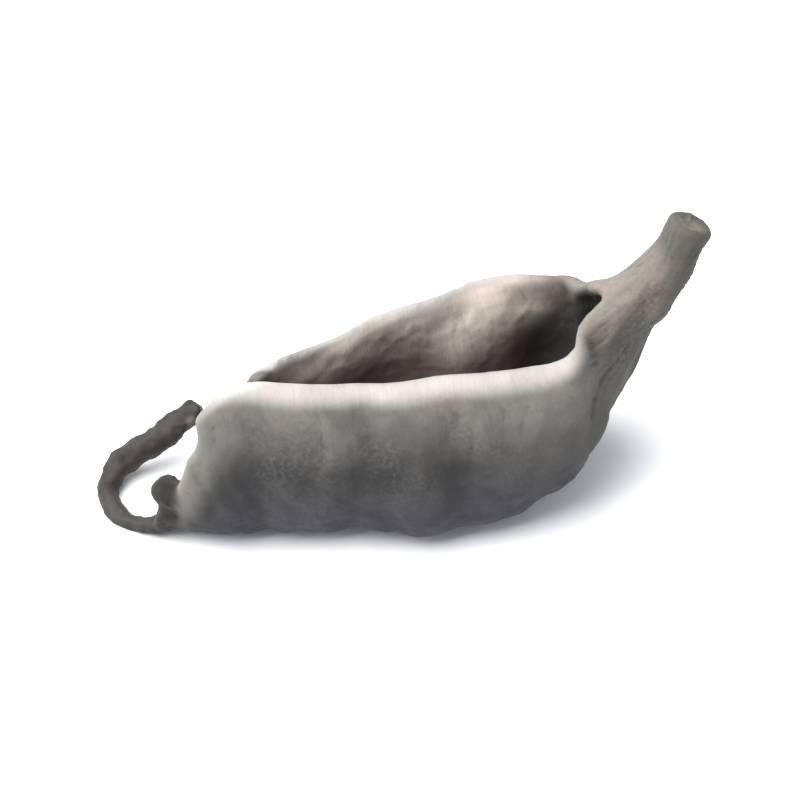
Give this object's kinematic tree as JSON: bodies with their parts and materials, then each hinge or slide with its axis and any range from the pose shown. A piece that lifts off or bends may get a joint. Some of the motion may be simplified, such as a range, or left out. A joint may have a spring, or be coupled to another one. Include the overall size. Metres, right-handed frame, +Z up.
{
  "type": "dried wood ear mushroom",
  "caption": "Dried wood ear mushroom, folded lengthwise into a small boat with rolled rims, a torn strip at the tail and a blunt stub at the neck.",
  "frame": {"origin": "centre of the bounding box on the plane that the ear lies on", "axes": "+X along the ear from the torn tail to the stub, +Y across it from the near wall to the far wall, +Z up"},
  "size_m": [0.0362, 0.0134, 0.0177],
  "materials": {
    "dried_flesh": "matt, grey-brown and slightly velvety"
  },
  "bodies": {
    "root": {"ear": "dried_flesh"}
  },
  "joints": []
}
